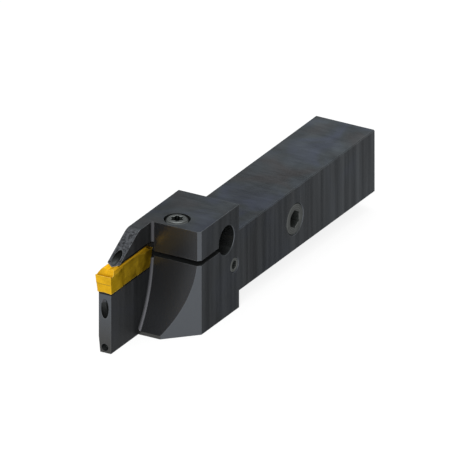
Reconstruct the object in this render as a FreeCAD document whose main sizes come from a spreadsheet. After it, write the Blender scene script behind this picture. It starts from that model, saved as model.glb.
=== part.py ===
import FreeCAD, Part
import Sketcher
import math
import os
import re

# Screw-clamp parting and grooving tool holder, millimetres.
# +X points to the cutting end, +Z up, +Y to the side with the two plugs.
# The origin is the centre of the shank's bottom seating face.

driving = {
    # Square shank, clamped in the turret.
    "shank_length": 80.0,
    "shank_width": 20.0,
    "shank_height": 20.0,
    "shank_edge_break": 0.3,
    # Head: taller than the shank, above and below, and a little proud of its left side.
    "head_length": 23.0,
    "head_foot_length": 31.0,
    "head_rise": 8.0,
    "head_drop": 5.2,
    "head_side_step": 0.4,
    "head_root_radius": 1.5,
    "corner_setback": 0.9,
    # Throat: the shoulder's hollow face that clears the turning work.
    "throat_radius": 40.5,
    "throat_fillet": 0.9,
    # Thin blade under and over the insert.
    "blade_reach": 24.0,
    "blade_thickness": 4.15,
    "blade_taper": 0.5,
    "blade_taper_height": 5.0,
    # Clamp finger, its slot and the round hole it flexes about.
    "finger_flat": 7.6,
    "finger_slope": 30.0,
    "finger_bend_radius": 5.0,
    "finger_nose_setback": 4.1,
    "slot_gap": 1.6,
    "slot_drop": 2.1,
    "hinge_hole_diameter": 9.0,
    "hinge_hole_setback": 7.3,
    "hinge_hole_rise": 1.45,
    "hole_edge_break": 0.2,
    # Double-ended insert: the cutting edge is level with the shank's top.
    "insert_length": 24.7,
    "insert_width": 5.3,
    "insert_foot_width": 4.75,
    "insert_waist_width": 4.5,
    "insert_head_length": 4.8,
    "insert_neck_length": 4.0,
    "insert_depth": 5.85,
    "insert_rise": 1.6,
    "insert_overhang": 1.25,
    "insert_corner_radius": 0.25,
    "flank_height": 2.8,
    "flank_angle": 7.0,
    "flank_step": 0.12,
    "lower_flank_angle": 8.0,
    "chip_land": 0.2,
    "chip_valley_length": 1.6,
    "chip_valley_depth": 0.25,
    "chip_ramp_length": 1.9,
    "insert_shoulder_width": 4.2,
    "insert_shoulder_rise": 0.85,
    "insert_ridge_width": 2.9,
    "insert_ridge_rise": 1.28,
    "insert_top_groove": 0.8,
    "insert_foot_groove": 0.3,
    # Seat of the insert.
    "seat_clearance": 0.03,
    "seat_stop_height": 2.4,
    "seat_relief_length": 3.5,
    "seat_relief_setback": 0.5,
    "seat_relief_rise": 0.1,
    # Clamp screw.
    "screw_setback": 5.2,
    "screw_side_offset": 0.7,
    "screw_counterbore_diameter": 8.0,
    "screw_counterbore_depth": 3.55,
    "screw_head_diameter": 7.2,
    "screw_head_height": 3.75,
    "screw_head_cone": 0.7,
    "screw_thread_diameter": 5.0,
    "screw_shaft_length": 16.0,
    "screw_tip_break": 0.6,
    "screw_arm_clearance": 0.25,
    "screw_hole_spare": 2.0,
    "screw_socket_core": 2.85,
    "screw_socket_tips": 3.95,
    "screw_socket_lobe": 0.9,
    "screw_socket_depth": 1.8,
    "screw_socket_turn": 30.0,
    "thread_clearance": 0.03,
    # Main coolant channel, its rear inlet and the side port.
    "channel_diameter": 6.0,
    "port_thread_diameter": 9.73,
    "inlet_depth": 12.0,
    "side_port_setback": 32.9,
    "shank_plug_length": 6.5,
    "shank_plug_hex": 5.0,
    "shank_plug_hex_depth": 4.0,
    # Cross drilling behind the small plug in the head's side.
    "cross_channel_diameter": 3.5,
    "cross_channel_setback": 2.7,
    "cross_channel_drop": 0.5,
    "head_plug_diameter": 4.5,
    "head_plug_length": 4.5,
    "head_plug_hex": 2.5,
    "head_plug_hex_depth": 2.2,
    # Riser behind the hinge hole and its stopper in the head's underside.
    "riser_diameter": 1.4,
    "riser_setback": 1.6,
    "riser_pilot_diameter": 2.4,
    "riser_plug_length": 2.4,
    "riser_plug_recess": 0.3,
    # Upper nozzle channel, lower channel and the outlet under the insert.
    "nozzle_diameter": 2.5,
    "nozzle_setback": 7.0,
    "nozzle_slope": 4.9,
    "lower_channel_diameter": 2.3,
    "lower_channel_rise": 1.74,
    "lower_channel_slope": 6.0,
    "outlet_diameter": 2.5,
    "outlet_drop": 10.95,
    "outlet_slope": 67.0,
    "blade_plug_length": 2.4,
    "blade_plug_recess": 1.6,
    "plug_edge_break": 0.3,
    # Drill length outside a face, so that every cut breaks clean through it.
    "runout": 1.0,
}

# Places worked out from the driving sizes.
head_back = "(shank_length / 2)"
inlet_end = "(-shank_length / 2)"
shoulder = f"({head_back} + head_length)"
foot = f"({head_back} + head_foot_length)"
front = f"({shoulder} + blade_reach)"
right = "(shank_width / 2)"
left = f"(-{right} - head_side_step)"
blade_right = f"({left} + blade_thickness)"
blade_middle = f"({left} + blade_thickness / 2)"
top = "(shank_height + head_rise)"
bottom = "(-head_drop)"
edge_height = "shank_height"
corner = f"({shoulder} - corner_setback)"
bend = f"({shoulder} + finger_flat)"
nose = f"({front} - finger_nose_setback)"
tip = f"({front} + insert_overhang)"
slot_height = f"({edge_height} - slot_drop)"
hinge_x = f"({head_back} + hinge_hole_setback)"
hinge_height = f"({slot_height} + hinge_hole_rise)"
seat_floor = f"({edge_height} - insert_depth - seat_clearance)"
seat_roof = f"({edge_height} + insert_rise + seat_clearance)"
stop_top = f"({edge_height} - insert_depth + seat_stop_height)"
relief_roof = f"({seat_roof} + seat_relief_rise)"
flank_run = "(flank_height * tan(flank_angle))"
step_run = f"({flank_run} + flank_step)"
foot_run = f"({step_run} + (insert_depth - flank_height) * tan(lower_flank_angle))"
stop_run = f"({step_run} + (insert_depth - flank_height - seat_stop_height) * tan(lower_flank_angle))"
seat_stop = f"({tip} - insert_length + {stop_run} - seat_clearance)"
screw_x = f"({shoulder} - screw_setback)"
screw_y = "(-screw_side_offset)"
screw_seat = f"({top} - screw_counterbore_depth)"
screw_tip = f"({screw_seat} - screw_shaft_length)"
coolant_height = "(shank_height / 2)"
side_port = f"({head_back} - side_port_setback)"
cross_x = f"({head_back} + cross_channel_setback)"
cross_height = f"({coolant_height} - cross_channel_drop)"
riser_x = f"({head_back} + riser_setback)"
nozzle_x = f"({front} - nozzle_setback)"
nozzle_height = f"({top} - ({nozzle_x} - {bend}) * tan(finger_slope))"
lower_height = f"({bottom} + lower_channel_rise)"
outlet_height = f"({edge_height} - outlet_drop)"
valley_radius = "((chip_valley_length ^ 2 / 4 + chip_valley_depth ^ 2) / (2 * chip_valley_depth))"

doc = FreeCAD.newDocument("turning_tool_holder")
sizes = doc.addObject("Spreadsheet::Sheet", "sizes")
for row, (name, number) in enumerate(driving.items(), start=1):
    sizes.set(f"A{row}", name)
    sizes.set(f"B{row}", str(number))
    sizes.setAlias(f"B{row}", name)
doc.recompute()


def bound(formula):
    """The formula with each driving name read from the sheet."""
    return re.sub(r"[a-z_]+", lambda word: f"sizes.{word[0]}" if word[0] in driving else word[0], formula)


def value(formula):
    """What a formula comes to now."""
    return float(sizes.evalExpression(bound(formula)))


def new_body(label):
    """An empty body for one sub-part, named after its file."""
    body = doc.addObject("PartDesign::Body", label)
    body.Label = label
    return body


def place(body, x, y, z, axis=None, angle=0.0):
    """Put a finished body where it sits in the holder, turned about one of its axes first."""
    if axis:
        body.Placement.Rotation = FreeCAD.Rotation(axis, angle)
    body.setExpression("Placement.Base.x", bound(x))
    body.setExpression("Placement.Base.y", bound(y))
    body.setExpression("Placement.Base.z", bound(z))


def new_sketch(body, name, role, shift="0"):
    """A sketch on one of the body's own origin planes, moved along the plane's normal."""
    sketch = body.newObject("Sketcher::SketchObject", name)
    plane = next(item for item in body.Origin.OriginFeatures if item.Role == role)
    sketch.AttachmentSupport = [(plane, "")]
    sketch.MapMode = "FlatFace"
    sketch.setExpression("AttachmentOffset.Base.z", bound(shift))
    doc.recompute()
    return sketch


def pin_point(sketch, shape, point, x, y):
    """Hold one point of a sketch at two formulas."""
    for kind, formula in (("DistanceX", x), ("DistanceY", y)):
        number = sketch.addConstraint(Sketcher.Constraint(kind, -1, 1, shape, point, value(formula)))
        sketch.setExpression(f"Constraints[{number}]", bound(formula))


def size_round(sketch, kind, shape, formula):
    """Hold the radius or diameter of an arc or a circle."""
    number = sketch.addConstraint(Sketcher.Constraint(kind, shape, value(formula)))
    sketch.setExpression(f"Constraints[{number}]", bound(formula))


def outline(sketch, corners, arcs=None):
    """A closed outline through the corners. arcs gives the radius of a round side by its number,
    with its centre to the left of the way from that corner to the next."""
    arcs = arcs or {}
    spots = [FreeCAD.Vector(value(x), value(y), 0) for x, y in corners]
    count = len(spots)
    for side in range(count):
        start = spots[side]
        end = spots[(side + 1) % count]
        if side not in arcs:
            sketch.addGeometry(Part.LineSegment(start, end))
            continue
        radius = value(arcs[side])
        chord = end - start
        inward = FreeCAD.Vector(-chord.y, chord.x, 0) * (1 / chord.Length)
        centre = (start + end) * 0.5 + inward * math.sqrt(radius ** 2 - chord.Length ** 2 / 4)
        circle = Part.Circle(centre, FreeCAD.Vector(0, 0, 1), radius)
        angles = [math.atan2(spot.y - centre.y, spot.x - centre.x) for spot in (start, end)]
        sketch.addGeometry(Part.ArcOfCircle(circle, *angles))
    for side in range(count):
        sketch.addConstraint(Sketcher.Constraint("Coincident", side, 2, (side + 1) % count, 1))
        pin_point(sketch, side, 1, *corners[side])
        if side in arcs:
            size_round(sketch, "Radius", side, arcs[side])


def circle(sketch, x, y, diameter):
    """A circle at two formulas."""
    centre = FreeCAD.Vector(value(x), value(y), 0)
    number = sketch.addGeometry(Part.Circle(centre, FreeCAD.Vector(0, 0, 1), value(diameter) / 2))
    pin_point(sketch, number, 3, x, y)
    size_round(sketch, "Diameter", number, diameter)


def feature(body, kind, name, sketch, length, flip=False, middle=False):
    """A pad or pocket of a sketch. A pocket has to take something away."""
    before = body.Shape.Volume if kind == "Pocket" else 0
    made = body.newObject(f"PartDesign::{kind}", name)
    made.Profile = sketch
    made.setExpression("Length", bound(length))
    made.Reversed = flip
    made.SideType = "Symmetric" if middle else "One side"
    doc.recompute()
    if kind == "Pocket" and body.Shape.Volume > before - 1e-6:
        raise ValueError(f"{name} cuts nothing")
    return made


def drill(body, name, diameter, length, spot, axis, angle):
    """A straight hole from a spot. Its direction is +Z turned about the axis by the angle formula."""
    before = body.Shape.Volume
    hole = body.newObject("PartDesign::SubtractiveCylinder", name)
    hole.Placement.Rotation = FreeCAD.Rotation(axis, 1)
    hole.setExpression("Placement.Rotation.Angle", bound(angle))
    for letter, formula in zip("xyz", spot):
        hole.setExpression(f"Placement.Base.{letter}", bound(formula))
    hole.setExpression("Radius", bound(f"({diameter}) / 2"))
    hole.setExpression("Height", bound(length))
    doc.recompute()
    if body.Shape.Volume > before - 1e-6:
        raise ValueError(f"{name} cuts nothing")
    return hole


def edge_names(base, wanted):
    """Names of the base's edges that pass a test."""
    names = [f"Edge{number}" for number, edge in enumerate(base.Shape.Edges, start=1) if wanted(edge)]
    if not names:
        raise ValueError(f"{base.Name} has no such edge")
    return names


def dress(body, kind, name, wanted, size):
    """A fillet or chamfer on the edges of the body's last feature that pass a test."""
    base = body.Tip
    made = body.newObject(f"PartDesign::{kind}", name)
    made.Base = (base, edge_names(base, wanted))
    made.setExpression("Radius" if kind == "Fillet" else "Size", bound(size))
    doc.recompute()
    return made


def runs_along(edge, axis):
    """Whether an edge is straight and parallel to an axis."""
    if not isinstance(edge.Curve, Part.Line):
        return False
    return abs(edge.Curve.Direction.dot(axis)) > 0.999


def near(number, formula):
    """Whether a coordinate is the one a formula gives."""
    return abs(number - value(formula)) < 1e-3


along_x = FreeCAD.Vector(1, 0, 0)
along_y = FreeCAD.Vector(0, 1, 0)


def ring_at(diameter, x=None, y=None, z=None):
    """A test for a full circle of a diameter whose centre lies at the places given."""
    def wanted(edge):
        if not isinstance(edge.Curve, Part.Circle) or not near(edge.Curve.Radius * 2, diameter):
            return False
        centre = edge.Curve.Center
        asked = ((centre.x, x), (centre.y, y), (centre.z, z))
        return all(near(number, formula) for number, formula in asked if formula is not None)
    return wanted


def shape_shank(body):
    """The square shank with its long edges and rear edges broken."""
    sketch = new_sketch(body, "ShankPlan", "XY_Plane")
    outline(sketch, [
        (inlet_end, f"-{right}"),
        (head_back, f"-{right}"),
        (head_back, right),
        (inlet_end, right),
    ])
    feature(body, "Pad", "Shank", sketch, "shank_height")

    def shank_edge(edge):
        return runs_along(edge, along_x) or near(edge.BoundBox.XMax, inlet_end)
    dress(body, "Chamfer", "ShankEdges", shank_edge, "shank_edge_break")


def shape_head(body):
    """The head with its corner cut at 45 degrees, and the blade in one piece with it."""
    sketch = new_sketch(body, "HeadPlan", "XY_Plane", bottom)
    outline(sketch, [
        (head_back, left),
        (front, left),
        (front, blade_right),
        (foot, blade_right),
        (foot, f"{right} - ({foot} - {corner})"),
        (corner, right),
        (head_back, right),
    ])
    feature(body, "Pad", "Head", sketch, "head_drop + shank_height + head_rise")

    def head_root(edge):
        middle = edge.CenterOfMass
        level = near(middle.z, "0") or near(middle.z, "shank_height")
        return runs_along(edge, along_y) and level and near(middle.x, head_back)
    dress(body, "Fillet", "HeadRoot", head_root, "head_root_radius")


def shape_throat(body):
    """The hollow round shoulder, upright above the cutting edge, with its fillet to the blade."""
    sketch = new_sketch(body, "ThroatRound", "XZ_Plane", f"-{blade_right}")
    circle(sketch, f"{shoulder} + throat_radius", edge_height, "throat_radius * 2")
    feature(body, "Pocket", "Throat", sketch, f"{right} - {blade_right} + runout")
    sketch = new_sketch(body, "ShoulderStep", "XZ_Plane", f"-{blade_right}")
    outline(sketch, [
        (shoulder, edge_height),
        (f"{front} + runout", edge_height),
        (f"{front} + runout", f"{top} + runout"),
        (shoulder, f"{top} + runout"),
    ])
    feature(body, "Pocket", "Shoulder", sketch, f"{right} - {blade_right} + runout")

    def blade_root(edge):
        box = edge.BoundBox
        on_blade = near(box.YMin, blade_right) and near(box.YMax, blade_right)
        return on_blade and box.XMax < value(foot) - 1e-3 and box.ZLength > 1
    dress(body, "Fillet", "ThroatFillet", blade_root, "throat_fillet")


def shape_blade_taper(body):
    """The blade's left face leans in along its bottom edge."""
    sketch = new_sketch(body, "BladeTaper", "YZ_Plane", foot)
    outline(sketch, [
        (left, f"{bottom} + blade_taper_height"),
        (f"{left} + blade_taper", bottom),
        (f"{left} + blade_taper", f"{bottom} - runout"),
        (f"{left} - runout", f"{bottom} - runout"),
        (f"{left} - runout", f"{bottom} + blade_taper_height"),
    ])
    feature(body, "Pocket", "BladeLean", sketch, f"{front} - {foot} + runout", flip=True)


def shape_finger(body):
    """The clamp finger's sloped nose, with the rounded bend above it."""
    sketch = new_sketch(body, "FingerSide", "XZ_Plane", f"-{blade_middle}")
    outline(sketch, [
        (bend, top),
        (nose, f"{top} - ({nose} - {bend}) * tan(finger_slope)"),
        (nose, slot_height),
        (f"{front} + runout", slot_height),
        (f"{front} + runout", f"{top} + runout"),
        (bend, f"{top} + runout"),
    ])
    feature(body, "Pocket", "FingerNose", sketch, "blade_thickness + 2 * runout", middle=True)

    def finger_bend(edge):
        middle = edge.CenterOfMass
        return runs_along(edge, along_y) and near(middle.x, bend) and near(middle.z, top)
    dress(body, "Fillet", "FingerBend", finger_bend, "finger_bend_radius")


def section_v(centre, edge, reach):
    """The three corners of a V across the insert: left end, centre and right end."""
    wing = f"({edge} + ({edge} - {centre}) * 2 * {reach} / insert_width)"
    half = f"(insert_width / 2 + {reach})"
    return [(f"{blade_middle} - {half}", wing), (blade_middle, centre), (f"{blade_middle} + {half}", wing)]


def shape_seat(body):
    """The open-sided seat: a ridge on the jaw and one under the finger fit the insert's grooves."""
    sketch = new_sketch(body, "SeatSection", "YZ_Plane", seat_stop)
    jaw = section_v(f"({seat_floor} + insert_foot_groove)", seat_floor, "runout")
    finger = section_v(f"({seat_roof} - insert_top_groove)", seat_roof, "runout")
    outline(sketch, jaw + finger[::-1])
    feature(body, "Pocket", "Seat", sketch, f"{front} - {seat_stop} + runout", flip=True)

    sketch = new_sketch(body, "SeatRelief", "XZ_Plane", f"-({blade_right} + throat_fillet)")
    outline(sketch, [
        (f"{shoulder} - seat_relief_setback", stop_top),
        (f"{shoulder} - seat_relief_setback + seat_relief_length", stop_top),
        (f"{shoulder} - seat_relief_setback + seat_relief_length", relief_roof),
        (f"{shoulder} - seat_relief_setback", relief_roof),
    ])
    feature(body, "Pocket", "SeatEnd", sketch, "blade_thickness + throat_fillet + runout", flip=True)


def shape_slot(body):
    """The hinge hole with broken edges, and the slot from it to the seat."""
    across = f"{right} - {left} + 2 * runout"
    side = f"{right} + runout"
    drill(body, "HingeHole", "hinge_hole_diameter", across, (hinge_x, side, hinge_height), along_x, "90")
    dress(body, "Chamfer", "HingeHoleEdges", ring_at("hinge_hole_diameter", x=hinge_x), "hole_edge_break")
    sketch = new_sketch(body, "SlotSide", "XZ_Plane", f"-({left} - runout)")
    outline(sketch, [
        (hinge_x, f"{slot_height} - slot_gap / 2"),
        (f"{front} + runout", f"{slot_height} - slot_gap / 2"),
        (f"{front} + runout", f"{slot_height} + slot_gap / 2"),
        (hinge_x, f"{slot_height} + slot_gap / 2"),
    ])
    feature(body, "Pocket", "Slot", sketch, across)


def drill_screw_hole(body):
    """Counterbore and clearance hole in the upper arm, tapped hole under the slot."""
    above = (screw_x, screw_y, f"{top} + runout")
    drill(body, "ScrewTap", "screw_thread_diameter", f"{top} + runout - {screw_tip} + screw_hole_spare",
          above, along_x, "180")
    passage = "screw_thread_diameter + 2 * screw_arm_clearance"
    drill(body, "ScrewPassage", passage, f"{top} + runout - {slot_height}", above, along_x, "180")
    drill(body, "ScrewCounterbore", "screw_counterbore_diameter", f"{top} + runout - {screw_seat}",
          above, along_x, "180")


def drill_coolant(body):
    """The coolant drillings, from the rear inlet to the two outlets."""
    rear = (f"{inlet_end} - runout", "0", coolant_height)
    drill(body, "MainChannel", "channel_diameter", f"{cross_x} - {inlet_end} + runout", rear, along_y, "90")
    drill(body, "Inlet", "port_thread_diameter", "inlet_depth + runout", rear, along_y, "90")
    dress(body, "Chamfer", "InletEdge", ring_at("port_thread_diameter", x=inlet_end), "hole_edge_break")

    drill(body, "SidePort", "port_thread_diameter", f"{right} + runout",
          (side_port, f"{right} + runout", coolant_height), along_x, "90")
    dress(body, "Chamfer", "SidePortEdge", ring_at("port_thread_diameter", y=right), "hole_edge_break")

    cross = (cross_x, f"{right} + runout", cross_height)
    cross_length = f"{right} + runout - {blade_middle}"
    drill(body, "CrossChannel", "cross_channel_diameter", cross_length, cross, along_x, "90")
    drill(body, "HeadPort", "head_plug_diameter", "head_plug_length + runout", cross, along_x, "90")
    dress(body, "Chamfer", "HeadPortEdge", ring_at("head_plug_diameter", y=right), "hole_edge_break")

    below = (riser_x, blade_middle, f"{bottom} - runout")
    nozzle_end = f"({nozzle_height} + ({nozzle_x} - {riser_x}) * tan(nozzle_slope))"
    drill(body, "Riser", "riser_diameter", f"{nozzle_end} - {bottom} + runout", below, along_x, "0")
    pilot_length = f"{coolant_height} - {bottom} + runout"
    drill(body, "RiserPilot", "riser_pilot_diameter", pilot_length, below, along_x, "0")

    # The nozzle meets the slope at a flat angle, so its drilling starts well in front of it.
    lead = "(2 * nozzle_diameter)"
    nozzle_start = (
        f"{nozzle_x} + {lead} * cos(nozzle_slope)",
        blade_middle,
        f"{nozzle_height} - {lead} * sin(nozzle_slope)",
    )
    nozzle_length = f"{lead} + ({nozzle_x} - {riser_x}) / cos(nozzle_slope)"
    drill(body, "Nozzle", "nozzle_diameter", nozzle_length, nozzle_start, along_y, "nozzle_slope - 90")

    lower_start = (f"{front} + runout", blade_middle, f"{lower_height} - runout * tan(lower_channel_slope)")
    lower_length = f"({front} - {riser_x} + runout) / cos(lower_channel_slope)"
    drill(body, "LowerChannel", "lower_channel_diameter", lower_length, lower_start,
          along_y, "lower_channel_slope - 90")

    # The outlet is drilled steeply down the blade's front face into the lower channel.
    rise = "(2 * outlet_diameter)"
    outlet_start = (
        f"{front} + {rise} * cos(outlet_slope)",
        blade_middle,
        f"{outlet_height} + {rise} * sin(outlet_slope)",
    )
    closing = "(sin(outlet_slope) + cos(outlet_slope) * tan(lower_channel_slope))"
    fall = f"(({outlet_height} - {lower_height}) / {closing})"
    drill(body, "Outlet", "outlet_diameter", f"{rise} + {fall}", outlet_start, along_y, "-90 - outlet_slope")


def make_holder_body():
    """The one-piece steel body."""
    body = new_body("holder_body")
    shape_shank(body)
    shape_head(body)
    shape_throat(body)
    shape_blade_taper(body)
    shape_finger(body)
    shape_seat(body)
    shape_slot(body)
    drill_screw_hole(body)
    drill_coolant(body)
    return body


def make_cutting_insert():
    """The insert. Its own origin is the middle of the front cutting edge."""
    body = new_body("cutting_insert")
    ramp_foot = "(chip_land + chip_valley_length)"
    ramp_top = f"({ramp_foot} + chip_ramp_length)"
    sketch = new_sketch(body, "InsertSide", "XZ_Plane")
    outline(sketch, [
        ("0", "0"),
        (f"-{flank_run}", "-flank_height"),
        (f"-{step_run}", "-flank_height"),
        (f"-{foot_run}", "-insert_depth"),
        (f"-insert_length + {foot_run}", "-insert_depth"),
        (f"-insert_length + {step_run}", "-flank_height"),
        (f"-insert_length + {flank_run}", "-flank_height"),
        ("-insert_length", "0"),
        ("-insert_length + chip_land", "0"),
        (f"-insert_length + {ramp_foot}", "0"),
        (f"-insert_length + {ramp_top}", "insert_rise"),
        (f"-{ramp_top}", "insert_rise"),
        (f"-{ramp_foot}", "0"),
        ("-chip_land", "0"),
    ], arcs={8: valley_radius, 12: valley_radius})
    feature(body, "Pad", "InsertBlank", sketch, "insert_width", middle=True)

    whole = "insert_length + 2 * runout"
    for side, sign in (("Right", "1"), ("Left", "-1")):
        half = f"{sign} * insert_width / 2"
        foot_half = f"{sign} * insert_foot_width / 2"
        waist = f"{sign} * insert_waist_width / 2"
        clear = f"{sign} * (insert_width / 2 + runout)"
        sketch = new_sketch(body, f"{side}Relief", "YZ_Plane", "runout")
        outline(sketch, [
            (half, "0"),
            (foot_half, "-insert_depth"),
            (foot_half, "-insert_depth - runout"),
            (clear, "-insert_depth - runout"),
            (clear, "0"),
        ])
        feature(body, "Pocket", f"{side}SideRelief", sketch, whole)
        sketch = new_sketch(body, f"{side}Waist", "XY_Plane", "insert_rise + runout")
        outline(sketch, [
            ("-insert_head_length", half),
            ("-insert_head_length - insert_neck_length", waist),
            ("-insert_length + insert_head_length + insert_neck_length", waist),
            ("-insert_length + insert_head_length", half),
            ("-insert_length + insert_head_length", clear),
            ("-insert_head_length", clear),
        ])
        feature(body, "Pocket", f"{side}WaistCut", sketch, "insert_rise + insert_depth + 2 * runout")
        sketch = new_sketch(body, f"{side}Shoulder", "YZ_Plane", "runout")
        outline(sketch, [
            (half, "0"),
            (f"{sign} * insert_shoulder_width / 2", "insert_shoulder_rise"),
            (f"{sign} * insert_ridge_width / 2", "insert_ridge_rise"),
            (f"{sign} * insert_ridge_width / 2", "insert_rise + runout"),
            (clear, "insert_rise + runout"),
            (clear, "0"),
        ])
        feature(body, "Pocket", f"{side}ShoulderCut", sketch, whole)

    half = "(insert_width / 2 + runout)"
    for name, edge, depth, away in (
        ("TopGroove", "insert_rise", "-insert_top_groove", "2 * runout"),
        ("FootGroove", "-insert_depth", "insert_foot_groove", "-2 * runout"),
    ):
        centre = f"({edge} + {depth})"
        far = f"({edge} + {away})"
        wing = f"{edge} + ({edge} - {centre}) * 2 * runout / insert_width"
        sketch = new_sketch(body, f"{name}Section", "YZ_Plane", "runout")
        outline(sketch, [("0", centre), (half, wing), (half, far), (f"-{half}", far), (f"-{half}", wing)])
        feature(body, "Pocket", name, sketch, whole)

    def corner_under(height, run):
        def wanted(edge):
            box = edge.BoundBox
            ends = near(box.XMax, f"-{run}") or near(box.XMin, f"-insert_length + {run}")
            return ends and box.ZLength > 1 and near(box.ZMax, height) and box.YLength < 1
        return wanted
    dress(body, "Fillet", "FootCorners", corner_under("-flank_height", step_run), "insert_corner_radius")
    dress(body, "Fillet", "CuttingCorners", corner_under("0", "0"), "insert_corner_radius")
    place(body, tip, blade_middle, edge_height)
    return body


def make_clamp_screw():
    """The clamp screw. Its own origin is the centre of the face under its head."""
    body = new_body("clamp_screw")
    shaft = "(screw_thread_diameter / 2 - thread_clearance)"
    sketch = new_sketch(body, "ScrewSection", "XZ_Plane")
    outline(sketch, [
        ("0", "-screw_shaft_length"),
        (f"{shaft} - screw_tip_break", "-screw_shaft_length"),
        (shaft, "-screw_shaft_length + screw_tip_break"),
        (shaft, "0"),
        ("screw_head_diameter / 2", "0"),
        ("screw_head_diameter / 2", "screw_head_height - screw_head_cone"),
        ("screw_head_diameter / 2 - screw_head_cone", "screw_head_height"),
        ("0", "screw_head_height"),
    ])
    turned = body.newObject("PartDesign::Revolution", "ScrewTurned")
    turned.Profile = sketch
    turned.ReferenceAxis = (sketch, ["V_Axis"])
    turned.Angle = 360
    doc.recompute()

    sketch = new_sketch(body, "SocketCore", "XY_Plane", "screw_head_height")
    circle(sketch, "0", "0", "screw_socket_core")
    feature(body, "Pocket", "Socket", sketch, "screw_socket_depth")
    sketch = new_sketch(body, "SocketLobe", "XY_Plane", "screw_head_height")
    lobe_reach = "((screw_socket_tips - screw_socket_lobe) / 2)"
    lobe_spot = (f"{lobe_reach} * cos(screw_socket_turn)", f"{lobe_reach} * sin(screw_socket_turn)")
    circle(sketch, *lobe_spot, "screw_socket_lobe")
    lobe = feature(body, "Pocket", "SocketTip", sketch, "screw_socket_depth")
    lobes = body.newObject("PartDesign::PolarPattern", "SocketTips")
    lobes.Originals = [lobe]
    lobes.Axis = (sketch, ["N_Axis"])
    lobes.Angle = 360
    lobes.Occurrences = 6
    body.Tip = lobes
    doc.recompute()
    place(body, screw_x, screw_y, screw_seat)
    return body


def make_plug(label, diameter, length, hexagon=None, hexagon_depth=None):
    """A round plug whose outer face is at its own origin and whose outward side is +Z."""
    body = new_body(label)
    fitted = f"({diameter} - 2 * thread_clearance)"
    sketch = new_sketch(body, "PlugRound", "XY_Plane")
    circle(sketch, "0", "0", fitted)
    feature(body, "Pad", "Plug", sketch, length, flip=True)
    if hexagon:
        sketch = new_sketch(body, "PlugHexagon", "XY_Plane")
        reach = f"{hexagon} / 2 / cos(30)"
        outline(sketch, [(f"{reach} * cos({turn})", f"{reach} * sin({turn})") for turn in range(0, 360, 60)])
        feature(body, "Pocket", "PlugSocket", sketch, hexagon_depth)
    dress(body, "Chamfer", "PlugEdges", ring_at(fitted), "plug_edge_break")
    return body


def make_plugs():
    """The two threaded plugs and the two plain stoppers, set in the same drillings."""
    shank_plug = make_plug("shank_coolant_plug", "port_thread_diameter", "shank_plug_length",
                           "shank_plug_hex", "shank_plug_hex_depth")
    place(shank_plug, side_port, right, coolant_height, along_x, -90)
    head_plug = make_plug("head_channel_plug", "head_plug_diameter", "head_plug_length",
                          "head_plug_hex", "head_plug_hex_depth")
    place(head_plug, cross_x, right, cross_height, along_x, -90)
    riser_plug = make_plug("riser_channel_plug", "riser_pilot_diameter", "riser_plug_length")
    place(riser_plug, riser_x, blade_middle, f"{bottom} + riser_plug_recess", along_x, 180)
    blade_plug = make_plug("blade_channel_plug", "lower_channel_diameter", "blade_plug_length")
    place(
        blade_plug,
        f"{front} - blade_plug_recess",
        blade_middle,
        f"{lower_height} + blade_plug_recess * tan(lower_channel_slope)",
        along_y,
        90,
    )
    blade_plug.setExpression("Placement.Rotation.Angle", bound("90 + lower_channel_slope"))
    return [shank_plug, head_plug, riser_plug, blade_plug]

parts = [make_holder_body(), make_cutting_insert(), make_clamp_screw()] + make_plugs()
doc.recompute()

for item in doc.Objects:
    if {"Invalid", "Error"} & set(item.State):
        raise ValueError(f"{item.Name} failed")
for part in parts:
    if part.Shape.isNull() or not part.Shape.isValid():
        raise ValueError(f"{part.Label} is not a sound solid")

os.makedirs("parts", exist_ok=True)
for part in parts:
    part.Shape.exportStep(f"parts/{part.Label}.step")
    print(f"{part.Label}: {part.Shape.Volume / 1000:.3f} cm3")
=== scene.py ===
import math

import bmesh
import bpy
from mathutils import Matrix, Vector


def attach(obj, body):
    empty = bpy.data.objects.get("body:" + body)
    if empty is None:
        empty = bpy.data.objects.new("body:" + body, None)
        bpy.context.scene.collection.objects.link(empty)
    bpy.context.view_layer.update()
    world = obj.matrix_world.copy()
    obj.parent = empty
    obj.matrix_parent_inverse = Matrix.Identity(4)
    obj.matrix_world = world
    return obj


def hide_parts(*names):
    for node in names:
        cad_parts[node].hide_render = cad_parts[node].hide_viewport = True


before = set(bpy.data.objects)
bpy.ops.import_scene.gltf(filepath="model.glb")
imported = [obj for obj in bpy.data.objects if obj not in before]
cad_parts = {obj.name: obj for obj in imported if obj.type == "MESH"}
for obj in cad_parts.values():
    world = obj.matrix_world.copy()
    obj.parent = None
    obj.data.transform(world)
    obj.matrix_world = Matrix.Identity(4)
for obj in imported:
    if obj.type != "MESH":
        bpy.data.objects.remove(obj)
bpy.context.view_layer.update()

mm = 0.001
print("frame loaded:", ", ".join(sorted(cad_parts)))


def linearColour(hexCode):
    channels = [int(hexCode[place:place + 2], 16) / 255 for place in (1, 3, 5)]
    return [c / 12.92 if c <= 0.04045 else ((c + 0.055) / 1.055) ** 2.4 for c in channels] + [1.0]


def addNode(tree, kind, inputs=None, **settings):
    # inputs: a socket, or a node's first output, is linked, and anything else becomes the input's own value
    node = tree.nodes.new(kind)
    for name, setting in settings.items():
        setattr(node, name, setting)
    for name, given in (inputs or {}).items():
        if isinstance(given, bpy.types.Node):
            given = given.outputs[0]
        if isinstance(given, bpy.types.NodeSocket):
            tree.links.new(given, node.inputs[name])
        else:
            node.inputs[name].default_value = given
    return node


def startMaterial(name):
    material = bpy.data.materials.new(name)
    material.use_nodes = True
    tree = material.node_tree
    tree.nodes.clear()
    shader = addNode(tree, "ShaderNodeBsdfPrincipled")
    addNode(tree, "ShaderNodeOutputMaterial", {"Surface": shader})
    return material, tree, shader


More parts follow.
